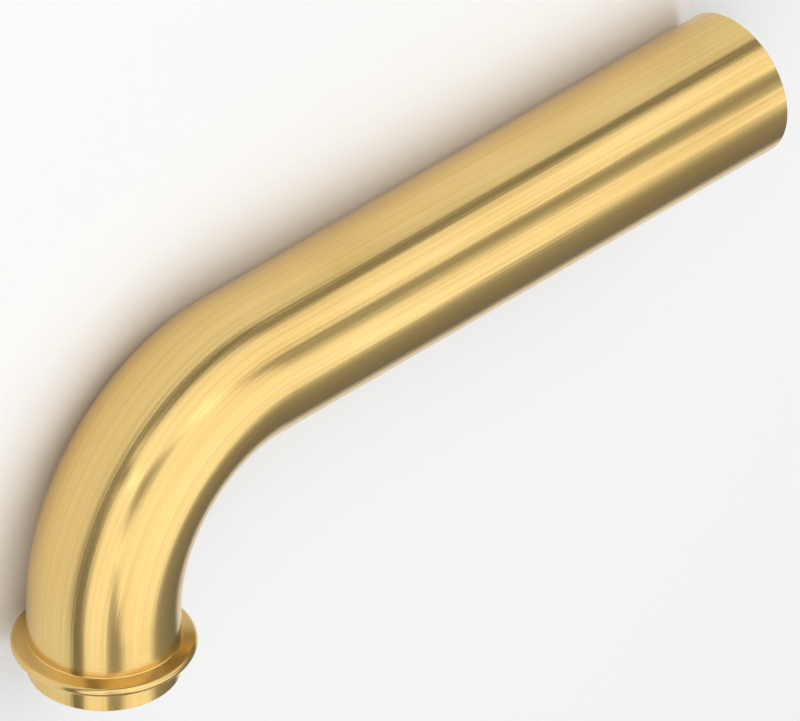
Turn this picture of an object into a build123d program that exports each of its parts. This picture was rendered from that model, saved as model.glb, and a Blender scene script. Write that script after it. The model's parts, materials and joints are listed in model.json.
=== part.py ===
"""A bent brass waste pipe: one drawn tube with a square bend and a rolled collar near its short end.

The union nut of a trap pulls on the collar, the spigot beyond the collar enters the trap, and the long leg
runs into the wall. The collar is a fold of the tube's own wall, so the pipe is a single piece.

The pipe lies on its side, as it comes to rest. The long leg touches the surface along its whole length. The
collar is wider than the tube, so it rests on its rim and holds the short leg slightly up from the surface.

Millimetres, +Z up. The origin is on the surface, below the middle of the pipe's bounding box.
"""

import os
from math import asin, atan2, cos, hypot, radians, sin, tan

from build123d import *

# Tube
tube_diameter = 32.0
wall_thickness = 1.0
bend_radius = 40.0  # to the tube's centreline
wall_leg_length = 144.0  # straight tube from the bend to the wall end
neck_length = 9.0  # straight tube from the bend to the middle of the collar
spigot_length = 6.7  # from the middle of the collar to the trap end
edge_break = 0.2  # chamfer on the edges of both cut ends

# Collar
collar_diameter = 38.6
collar_face_angle = 15.0  # slope of each face, in degrees from square to the tube

# Radii, and distances from the corner where the axes of the two legs meet
tube_radius = tube_diameter / 2
bore_radius = tube_radius - wall_thickness
wall_end = bend_radius + wall_leg_length
collar_middle = bend_radius + neck_length
trap_end = collar_middle + spigot_length

# The fold of the wall, by radius from the short leg's axis and height above the collar's middle. Its two
# halves close on each other at the rim, and the wall keeps its full thickness all the way round.
fold_slope = tan(radians(collar_face_angle))
fold_radius = collar_diameter / 2 - wall_thickness
mouth_height = (fold_radius - bore_radius) * fold_slope
rim_arc_angle = 90 - collar_face_angle
rim_start = Vector(fold_radius, 0) + Vector(wall_thickness, 0).rotate(Axis.Z, rim_arc_angle)
root_height = rim_start.Y + (rim_start.X - tube_radius) * fold_slope

# Rest: the tilt about the long leg at which that leg and the rim of the collar both touch the surface
rest_tilt = atan2(fold_radius, collar_middle) - asin(
    (tube_radius - wall_thickness) / hypot(fold_radius, collar_middle)
)
trap_end_reach = trap_end * cos(rest_tilt) + (tube_radius - edge_break) * sin(rest_tilt)
corner = Vector((collar_diameter / 2 - wall_end) / 2, (trap_end_reach - tube_radius) / 2, tube_radius)

# The plane of the bend: the long leg runs along its X axis, and the short leg against its Y axis
bend_plane = Plane(corner, x_dir=(1, 0, 0), z_dir=(0, sin(rest_tilt), cos(rest_tilt)))
collar_centre = bend_plane.from_local_coords((0, -collar_middle, 0))
collar_plane = Plane(collar_centre, bend_plane.x_dir, bend_plane.z_dir)

with BuildPart() as waste_pipe:
    # Long leg and bend: a ring drawn along the centreline
    with BuildLine(bend_plane) as centreline:
        Line((wall_end, 0), (bend_radius, 0))
        CenterArc((bend_radius, -bend_radius), bend_radius, 90, 90)
    with BuildSketch(Plane(centreline.line @ 0, z_dir=centreline.line % 0)):
        Circle(tube_radius)
        Circle(bore_radius, mode=Mode.SUBTRACT)
    sweep()

    # Short leg: a section through the wall, from the bend over the collar to the trap end and back inside
    with BuildSketch(collar_plane):
        with BuildLine():
            neck = Polyline((tube_radius, neck_length), (tube_radius, root_height), rim_start)
            rim = CenterArc((fold_radius, 0), wall_thickness, rim_arc_angle, -2 * rim_arc_angle)
            Polyline(
                rim @ 1,
                (tube_radius, -root_height),
                (tube_radius, -spigot_length),
                (bore_radius, -spigot_length),
                (bore_radius, -mouth_height),
                (fold_radius, 0),
                (bore_radius, mouth_height),
                (bore_radius, neck_length),
                neck @ 0,
            )
        make_face()
    revolve(axis=Axis(collar_plane.origin, collar_plane.y_dir))

    # Both cut ends are deburred
    chamfer(waste_pipe.faces().filter_by(GeomType.PLANE).edges(), edge_break)

waste_pipe.part.label = "waste_pipe"
os.makedirs("parts", exist_ok=True)
export_step(waste_pipe.part, "parts/waste_pipe.step")
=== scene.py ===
"""The looks of a bent brass waste pipe: the wall as a smooth mesh, its finish, the studio and the camera.

Metres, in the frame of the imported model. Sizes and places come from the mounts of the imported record.
"""

import json
from collections import namedtuple
from math import ceil, cos, pi, radians, sin, tan

import bpy
from mathutils import Matrix, Vector


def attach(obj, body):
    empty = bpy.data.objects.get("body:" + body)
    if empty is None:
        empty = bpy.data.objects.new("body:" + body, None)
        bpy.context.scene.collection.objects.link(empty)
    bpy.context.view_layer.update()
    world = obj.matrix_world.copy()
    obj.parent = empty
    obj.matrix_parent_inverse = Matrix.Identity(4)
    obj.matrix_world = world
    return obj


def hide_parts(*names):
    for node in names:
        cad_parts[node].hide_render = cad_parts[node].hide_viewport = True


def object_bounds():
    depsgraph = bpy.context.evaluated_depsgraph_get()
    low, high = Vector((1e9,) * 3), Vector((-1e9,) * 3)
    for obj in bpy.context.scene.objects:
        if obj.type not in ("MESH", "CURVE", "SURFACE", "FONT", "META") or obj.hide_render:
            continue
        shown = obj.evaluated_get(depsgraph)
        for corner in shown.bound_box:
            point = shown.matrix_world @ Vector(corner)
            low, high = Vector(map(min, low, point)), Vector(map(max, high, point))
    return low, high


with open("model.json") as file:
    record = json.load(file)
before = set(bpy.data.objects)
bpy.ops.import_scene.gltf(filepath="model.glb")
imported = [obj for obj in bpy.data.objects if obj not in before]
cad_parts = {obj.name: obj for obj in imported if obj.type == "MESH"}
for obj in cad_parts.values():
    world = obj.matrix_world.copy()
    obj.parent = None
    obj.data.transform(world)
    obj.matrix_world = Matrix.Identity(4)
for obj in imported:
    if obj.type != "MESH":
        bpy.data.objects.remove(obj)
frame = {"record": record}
cad_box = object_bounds()

MM = 0.001
mounts = {mount["name"]: mount for mount in frame["record"]["mounts"]}


def mount_place(name):
    return Vector(mounts[name]["pos_m"])


def mount_axis(name):
    return Vector(mounts[name]["axis"]).normalized()


def mount_size(name, key):
    return mounts[name]["dims"][key] * MM


# Tube, from its mounts
tube_radius = mount_size("wall_end", "r_mm")
bore_radius = mount_size("wall_bore", "r_mm")
wall = tube_radius - bore_radius
edge_break = cad_box[1].x - mount_place("wall_end").x
wall_leg = mount_size("wall_end", "length_mm") + edge_break

# The pipe's own axes: along the long leg, away from the short leg, and out of the plane of the bend
along_leg = mount_axis("wall_end")
off_short = -mount_axis("trap_spigot")
off_plane = along_leg.cross(off_short)

# The corner where the axes of the legs meet, and distances from it
wall_centre = mount_place("wall_end") + along_leg * edge_break
corner = wall_centre - along_leg * (wall_centre - mount_place("trap_spigot")).dot(along_leg)
bend_radius = (wall_centre - corner).length - wall_leg
collar_distance = (mount_place("union_collar") - corner).length
trap_distance = (mount_place("trap_spigot") - corner).length + edge_break

# Distances along the centreline, from the wall end
bend_start = wall_leg
bend_end = bend_start + bend_radius * pi / 2
collar_at = bend_end + collar_distance - bend_radius
trap_at = bend_end + trap_distance - bend_radius

# Collar, a fold of the wall that closes on itself at the rim
COLLAR_FACE_ANGLE = radians(15)
fold_radius = mount_size("union_collar", "r_mm") - wall
fold_tip = fold_radius + wall / sin(COLLAR_FACE_ANGLE)
mouth_height = (fold_radius - bore_radius) * tan(COLLAR_FACE_ANGLE)
root_height = (fold_tip - tube_radius) * tan(COLLAR_FACE_ANGLE)

# Roundings: the collar's roots, the mouth and the crease of its groove, and the edges of the cut ends
ROOT_RADIUS = 0.3 * MM
CREASE_RADIUS = 0.05 * MM
EDGE_RADIUS = 0.06 * MM
mouth_radius = ROOT_RADIUS + wall

# Fineness of the mesh
FACES_AROUND = 144
LEG_STEP = 4 * MM
BEND_STEP = 1 * MM
ARC_STEP = radians(12)

# The share of a strip's width that stays free at each of its sides in the bake map
STRIP_MARGIN = 0.01

# Tones of the brass
BRIGHT_BRASS = (0.84, 0.61, 0.25, 1)
DEEP_BRASS = (0.7, 0.48, 0.17, 1)
DULL_BRASS = (0.58, 0.4, 0.15, 1)
CUT_BRASS = (0.86, 0.65, 0.29, 1)

# Roughness of the brass, from the smoothest to the roughest of its marks
POLISHED_ROUGHNESS = (0.08, 0.26)
CLOUDED_ROUGHNESS = (0.14, 0.34)
DULL_ROUGHNESS = (0.5, 0.66)
CUT_ROUGHNESS = 0.34

# Marks in the brass, by their width across and their length along the pipe, and how deep they look
DRAW_LINE = (0.7 * MM, 70 * MM)
ROLLING_MARK = (8 * MM, 0.5 * MM)
CLOUD = (14 * MM, 45 * MM)
MARK_DEPTH = 0.025 * MM

# Rolling marks fill this stretch on each side of the collar's middle, and fade over as much again
rolled_reach = 2 * root_height

# The share of marks, rather than clouds, in the tone, and the range that the tone is widened to, because
# noise keeps near its middle and would reach neither the bright nor the deep brass
MARKS_IN_TONE = 0.5
TONE_RANGE = (-1, 2)

# Studio: a pale floor in a grey room, which is lighter above
FLOOR_HALF = 7
FLOOR_COLOUR = (0.95, 0.95, 0.95, 1)
FLOOR_ROUGHNESS = 0.7
ROOM_LEVELS = (0.18, 0.42)

# Camera, set so that a long lens shows what the isometric drawing shows
LENS = 1400
SENSOR = 36
CAMERA_DISTANCE = 6.364
AIM_RIGHT = 0.06083
AIM_UP = 0.01736

# A ring of the wall: its distance along the centreline, its radius, its outward normal as parts along
# and out of the tube, and whether it is inside the pipe
Ring = namedtuple("Ring", "at radius lean inside")


def centreline(at):
    """The centreline's point, direction and outward normal at a distance from the wall end."""
    if at <= bend_start:
        return wall_centre - along_leg * at, -along_leg, off_short
    if at >= bend_end:
        return corner - off_short * (at - bend_end + bend_radius), -off_short, -along_leg
    turn = (at - bend_start) / bend_radius
    outward = off_short * cos(turn) - along_leg * sin(turn)
    forward = -along_leg * cos(turn) - off_short * sin(turn)
    centre = corner + (along_leg - off_short) * bend_radius
    return centre + outward * bend_radius, forward, outward


def wall_outlines():
    """Corners of the wall's section, outside and then back inside: distance along, radius and rounding."""
    outside = [
        (0, tube_radius - edge_break, EDGE_RADIUS),
        (edge_break, tube_radius, EDGE_RADIUS),
        (collar_at - root_height, tube_radius, ROOT_RADIUS),
        (collar_at, fold_tip, wall),
        (collar_at + root_height, tube_radius, ROOT_RADIUS),
        (trap_at - edge_break, tube_radius, EDGE_RADIUS),
        (trap_at, tube_radius - edge_break, EDGE_RADIUS),
    ]
    inside = [
        (trap_at, bore_radius + edge_break, EDGE_RADIUS),
        (trap_at - edge_break, bore_radius, EDGE_RADIUS),
        (collar_at + mouth_height, bore_radius, mouth_radius),
        (collar_at, fold_radius, CREASE_RADIUS),
        (collar_at - mouth_height, bore_radius, mouth_radius),
        (edge_break, bore_radius, EDGE_RADIUS),
        (0, bore_radius + edge_break, EDGE_RADIUS),
    ]
    return outside, inside


def rounded_corner(before, tip, after, radius):
    """Points of the arc that rounds a corner of the section, each with the wall's outward normal there."""
    into = (tip - before).normalized()
    out = (after - tip).normalized()
    turn = into.angle_signed(out)
    side = 1 if turn < 0 else -1
    start = tip - into * radius * tan(abs(turn) / 2)
    centre = start + into.orthogonal() * radius * side
    count = ceil(abs(turn) / ARC_STEP)
    arc = []
    for step in range(count + 1):
        heading = into.copy()
        heading.rotate(Matrix.Rotation(-turn * step / count, 2))
        normal = heading.orthogonal()
        arc.append((centre - normal * radius * side, normal))
    return arc


def even_steps(first, last, step):
    count = ceil((last - first) / step)
    return [first + (last - first) * i / count for i in range(count)]


def stations_between(first, last):
    """Distances along the centreline at which a straight run of the section is divided."""
    legs = even_steps(0, bend_start, LEG_STEP)
    bend = even_steps(bend_start, bend_end, BEND_STEP)
    low, high = sorted((first, last))
    stations = [at for at in [*legs, *bend, bend_end] if low < at < high]
    return stations if first < last else stations[::-1]


def wall_rings():
    """Every ring of the wall, once round its section: outside to the trap end, and back inside."""
    outside, inside = wall_outlines()
    corners = outside + inside
    tips = [Vector((at, radius)) for at, radius, _ in corners]
    rings = []
    for i, (at, radius, rounding) in enumerate(corners):
        following = (i + 1) % len(corners)
        is_inside = i >= len(outside)
        for place, lean in rounded_corner(tips[i - 1], tips[i], tips[following], rounding):
            rings.append(Ring(place.x, place.y, lean, is_inside))
        next_at, next_radius, _ = corners[following]
        if next_radius == radius:
            for station in stations_between(at, next_at):
                rings.append(Ring(station, radius, rings[-1].lean, is_inside))
    return rings


def ring_finish(ring):
    """How much of a ring is dull bore, rolled stretch at the collar, and cut end: 0 to 1 each."""
    rolled = max(0, min(1, 2 - abs(ring.at - collar_at) / rolled_reach))
    is_cut = ring.at < edge_break or ring.at > trap_at - edge_break
    return float(ring.inside), rolled, float(is_cut)


def pipe_mesh():
    """The wall as one closed mesh, with exact normals and the coordinates that its finish follows."""
    rings = wall_rings()
    points, normals, straight, finish = [], [], [], []
    for ring in rings:
        centre, forward, outward = centreline(ring.at)
        for j in range(FACES_AROUND):
            turn = 2 * pi * j / FACES_AROUND
            radial = outward * cos(turn) + off_plane * sin(turn)
            points.append(centre + radial * ring.radius)
            normals.append(forward * ring.lean.x + radial * ring.lean.y)
            straight += (ring.radius * cos(turn), ring.radius * sin(turn), ring.at)
            finish += ring_finish(ring)

    faces = []
    for i in range(len(rings)):
        here = i * FACES_AROUND
        there = (i + 1) % len(rings) * FACES_AROUND
        for j in range(FACES_AROUND):
            k = (j + 1) % FACES_AROUND
            faces.append((here + j, there + j, there + k, here + k))

    mesh = bpy.data.meshes.new("waste_pipe_wall")
    mesh.from_pydata(points, [], faces)
    mesh.attributes.new("straight", "FLOAT_VECTOR", "POINT").data.foreach_set("vector", straight)
    mesh.attributes.new("finish", "FLOAT_VECTOR", "POINT").data.foreach_set("vector", finish)
    mesh.shade_smooth()
    mesh.normals_split_custom_set_from_vertices(normals)
    add_bake_map(mesh, rings)
    return mesh


def add_bake_map(mesh, rings):
    """A map of the wall as two strips side by side, outside and inside, straightened and unrolled."""
    along = [0]
    for here, there in zip(rings, rings[1:] + rings[:1]):
        along.append(along[-1] + Vector((there.at - here.at, there.radius - here.radius)).length)
    middle = along[[ring.inside for ring in rings].index(True)]
    strips = ((0, middle), (middle, along[-1]))

    corners = []
    for i, ring in enumerate(rings):
        start, end = strips[ring.inside]
        low = (along[i] - start) / (end - start)
        high = (along[i + 1] - start) / (end - start)
        for j in range(FACES_AROUND):
            for step, up in ((j, low), (j, high), (j + 1, high), (j + 1, low)):
                across = STRIP_MARGIN + (1 - 2 * STRIP_MARGIN) * step / FACES_AROUND
                corners += ((ring.inside + across) / 2, up)
    mesh.uv_layers.new(name="OFBake").uv.foreach_set("vector", corners)


def find_socket(sockets, identifier):
    """The socket with an identifier, because several sockets of a Mix node share one name."""
    return next(socket for socket in sockets if socket.identifier == identifier)


def add_node(tree, kind, values=(), **settings):
    """A shader node with its settings, and its input sockets set to values or linked to other sockets."""
    node = tree.nodes.new(kind)
    for name, value in settings.items():
        setattr(node, name, value)
    for identifier, value in dict(values).items():
        socket = find_socket(node.inputs, identifier)
        if isinstance(value, bpy.types.NodeSocket):
            tree.links.new(value, socket)
        else:
            socket.default_value = value
    return node


def attribute(tree, name):
    return add_node(tree, "ShaderNodeAttribute", attribute_name=name).outputs["Vector"]


def separated(tree, vector):
    return add_node(tree, "ShaderNodeSeparateXYZ", {"Vector": vector}).outputs


def ranged(tree, value, low, high):
    """A value from 0 to 1 brought to the range from low to high."""
    values = {"Value": value, "To Min": low, "To Max": high}
    return add_node(tree, "ShaderNodeMapRange", values).outputs["Result"]


def mixed(tree, share, first, second):
    values = {"Factor_Float": share, "A_Float": first, "B_Float": second}
    return find_socket(add_node(tree, "ShaderNodeMix", values).outputs, "Result_Float")


def mixed_colour(tree, share, first, second):
    values = {"Factor_Float": share, "A_Color": first, "B_Color": second}
    return find_socket(add_node(tree, "ShaderNodeMix", values, data_type="RGBA").outputs, "Result_Color")


def noise(tree, place, size, detail):
    """Noise on the straightened pipe, with blotches of a width across it and a length along it."""
    width, length = size
    values = {"Vector": place, "Vector_001": (1 / width, 1 / width, 1 / length)}
    scaled = add_node(tree, "ShaderNodeVectorMath", values, operation="MULTIPLY").outputs["Vector"]
    values = {"Vector": scaled, "Scale": 1, "Detail": detail}
    return add_node(tree, "ShaderNodeTexNoise", values).outputs["Fac"]


def drawn_brass():
    """Drawn brass: fine lines along the tube, rolling marks round the collar, and a duller bore."""
    material = bpy.data.materials.new("drawn_brass")
    material.use_nodes = True
    tree = material.node_tree
    shader = tree.nodes["Principled BSDF"]
    shader.inputs["Metallic"].default_value = 1

    place = attribute(tree, "straight")
    bore, rolled, cut = separated(tree, attribute(tree, "finish"))
    clouds = noise(tree, place, CLOUD, detail=2)
    draw_lines = noise(tree, place, DRAW_LINE, detail=3)
    rolling_marks = noise(tree, place, ROLLING_MARK, detail=4)
    marks = mixed(tree, rolled, draw_lines, rolling_marks)

    tone = ranged(tree, mixed(tree, MARKS_IN_TONE, clouds, marks), *TONE_RANGE)
    darker_brass = mixed_colour(tree, bore, DEEP_BRASS, DULL_BRASS)
    wall_colour = mixed_colour(tree, tone, BRIGHT_BRASS, darker_brass)
    colour = mixed_colour(tree, cut, wall_colour, CUT_BRASS)
    tree.links.new(colour, shader.inputs["Base Color"])

    polished = ranged(tree, marks, *POLISHED_ROUGHNESS)
    clouded = ranged(tree, marks, *CLOUDED_ROUGHNESS)
    dull = ranged(tree, marks, *DULL_ROUGHNESS)
    outer_roughness = mixed(tree, clouds, polished, clouded)
    wall_roughness = mixed(tree, bore, outer_roughness, dull)
    roughness = mixed(tree, cut, wall_roughness, CUT_ROUGHNESS)
    tree.links.new(roughness, shader.inputs["Roughness"])

    bump = add_node(tree, "ShaderNodeBump", {"Strength": 1, "Distance": MARK_DEPTH, "Height": marks})
    tree.links.new(bump.outputs["Normal"], shader.inputs["Normal"])
    return material


def add_object(name, data):
    made = bpy.data.objects.new(name, data)
    bpy.context.scene.collection.objects.link(made)
    return made


def add_pipe():
    pipe = add_object("waste_pipe_wall", pipe_mesh())
    pipe.data.materials.append(drawn_brass())
    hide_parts("waste_pipe")
    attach(pipe, "root")


def add_floor():
    mesh = bpy.data.meshes.new("floor")
    corners = [(x * FLOOR_HALF, y * FLOOR_HALF, 0) for x, y in ((-1, -1), (1, -1), (1, 1), (-1, 1))]
    mesh.from_pydata(corners, [], [(0, 1, 2, 3)])
    material = bpy.data.materials.new("pale_floor")
    material.use_nodes = True
    shader = material.node_tree.nodes["Principled BSDF"]
    shader.inputs["Base Color"].default_value = FLOOR_COLOUR
    shader.inputs["Roughness"].default_value = FLOOR_ROUGHNESS
    mesh.materials.append(material)
    add_object("floor", mesh)


def add_softbox(name, azimuth, elevation, distance, width, height, radiance):
    """A lamp that faces the pipe, with the brightness that its face shows in a reflection."""
    lamp = bpy.data.lights.new(name, "AREA")
    lamp.shape = "RECTANGLE"
    lamp.size = width
    lamp.size_y = height
    lamp.energy = radiance * pi * width * height
    softbox = add_object(name, lamp)
    around = radians(azimuth)
    above = radians(elevation)
    towards = Vector((cos(around) * cos(above), sin(around) * cos(above), sin(above)))
    softbox.location = towards * distance
    softbox.rotation_euler = towards.to_track_quat("Z", "Y").to_euler()


def add_lamps():
    """Two long softboxes beside the pipe, whose reflections meet in its bend, and one overhead."""
    add_softbox("key", azimuth=85, elevation=34, distance=1.5, width=3.6, height=1.0, radiance=1.0)
    add_softbox("fill", azimuth=187, elevation=32, distance=1.5, width=2.6, height=0.8, radiance=1.0)
    add_softbox("overhead", azimuth=-45, elevation=88, distance=1.3, width=1.8, height=2.2, radiance=0.95)


def add_room():
    """The grey room around the scene, with a level that rises from the horizon to straight above."""
    world = bpy.data.worlds.new("room")
    bpy.context.scene.world = world
    world.use_nodes = True
    tree = world.node_tree
    direction = add_node(tree, "ShaderNodeTexCoord").outputs["Generated"]
    level = ranged(tree, separated(tree, direction)["Z"], *ROOM_LEVELS)
    background = tree.nodes["Background"]
    background.inputs["Color"].default_value = (1, 1, 1, 1)
    tree.links.new(level, background.inputs["Strength"])


def add_camera():
    """An isometric view on the pipe's own axes: the long leg to the upper right, the short one down."""
    right = (along_leg + off_plane).normalized()
    back = (off_short + off_plane - along_leg).normalized()
    up = back.cross(right)
    data = bpy.data.cameras.new("camera")
    data.lens = LENS
    data.sensor_width = SENSOR
    data.clip_end = 2 * CAMERA_DISTANCE
    camera = add_object("camera", data)
    turn = Matrix((right, up, back)).transposed().to_4x4()
    place = corner + right * AIM_RIGHT + up * AIM_UP + back * CAMERA_DISTANCE
    camera.matrix_world = Matrix.Translation(place) @ turn
    bpy.context.scene.camera = camera


add_pipe()
add_floor()
add_lamps()
add_room()
add_camera()
bpy.context.scene.view_settings.view_transform = "Standard"

bpy.context.view_layer.update()
